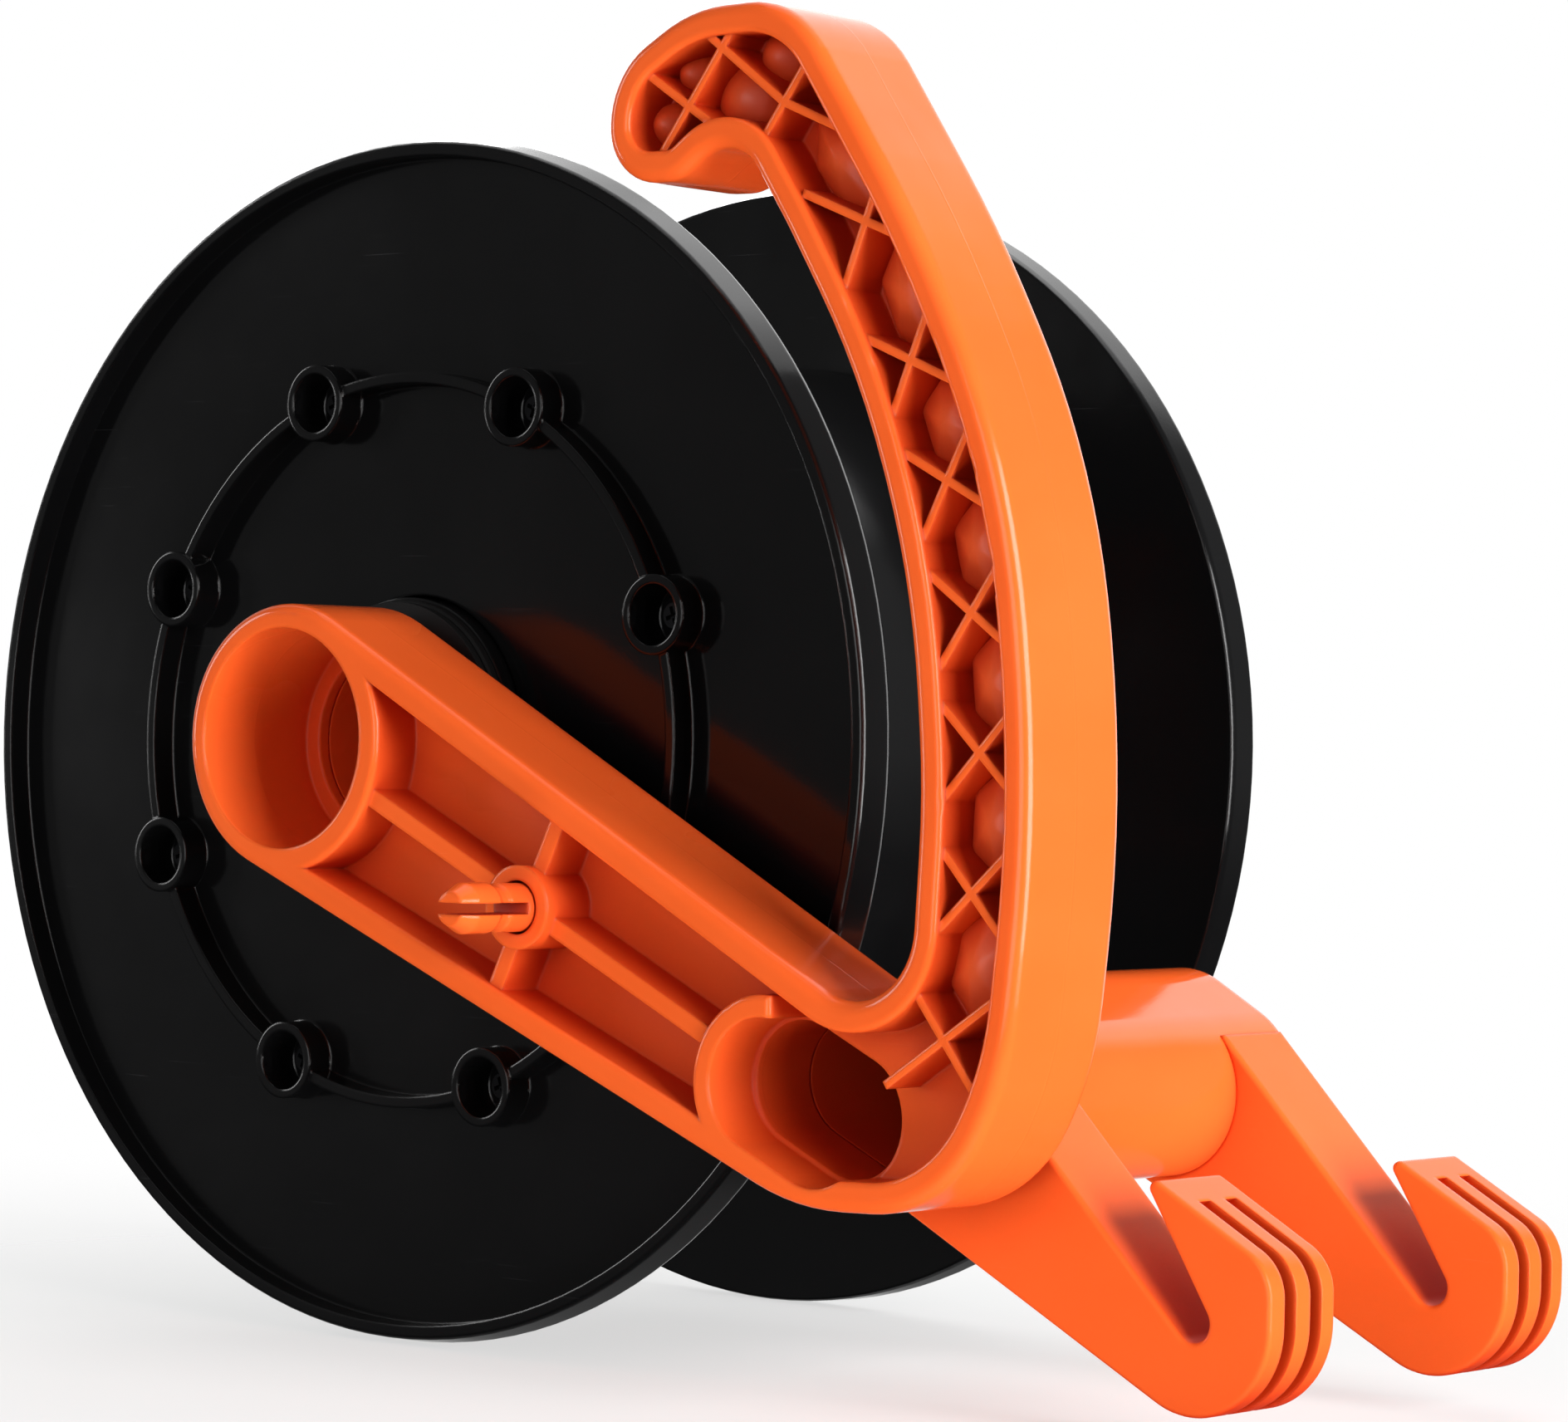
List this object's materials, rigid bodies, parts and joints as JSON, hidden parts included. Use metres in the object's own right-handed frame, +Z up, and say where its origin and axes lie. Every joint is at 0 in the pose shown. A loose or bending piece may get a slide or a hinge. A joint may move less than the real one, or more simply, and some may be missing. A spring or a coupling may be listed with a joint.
{
  "type": "surveyor tape reel",
  "caption": "Open hand reel for a surveyor's tape: ribbed grip frame with two hanging hooks, hollow spindle, flanged spool and winding knob.",
  "frame": {"origin": "centre of the hub socket's mouth, on the spool's axis", "axes": "+Y along the spool's axis from the frame's arm towards the winding knob, +X from the hub towards the grip, +Z up"},
  "size_m": [0.3224, 0.2402, 0.2467],
  "materials": {
    "orange_plastic": "glossy moulded plastic with fine handling scratches",
    "black_plastic": "glossy black moulded plastic",
    "steel": "zinc plated steel",
    "nylon": "black bearing plastic",
    "knob_plastic": "black satin plastic"
  },
  "bodies": {
    "frame": {"frame": "orange_plastic", "spindle": "orange_plastic", "spindle_end": "orange_plastic", "cross_tube": "orange_plastic", "front_hook": "orange_plastic", "rear_hook": "orange_plastic", "front_thrust_washer": "nylon", "rear_thrust_washer": "nylon", "retaining_washer": "steel", "retaining_screw": "steel"},
    "lock_pin": {"lock_pin": "orange_plastic"},
    "spool": {"front_flange": "black_plastic", "rear_flange": "black_plastic", "drum": "black_plastic", "front_flange_screws": "steel", "rear_flange_screws": "steel", "front_bush": "nylon", "rear_bush": "nylon", "hub_cap": "black_plastic", "knob_bolt": "steel", "knob_washer": "steel", "knob_nut": "steel"},
    "knob": {"winding_knob": "knob_plastic", "knob_cap": "knob_plastic"}
  },
  "joints": [
    {"name": "spool_spin", "type": "hinge", "parent": "frame", "child": "spool", "pos_m": [0, 0, 0], "axis": [0, 1, 0], "continuous": true},
    {"name": "lock_pin_slide", "type": "slide", "parent": "frame", "child": "lock_pin", "axis": [0, 1, 0], "range_m": [0, 0.0055]},
    {"name": "knob_spin", "type": "hinge", "parent": "spool", "child": "knob", "pos_m": [-0.08805, 0.19, -0.03292], "axis": [0, 1, 0], "continuous": true}
  ]
}
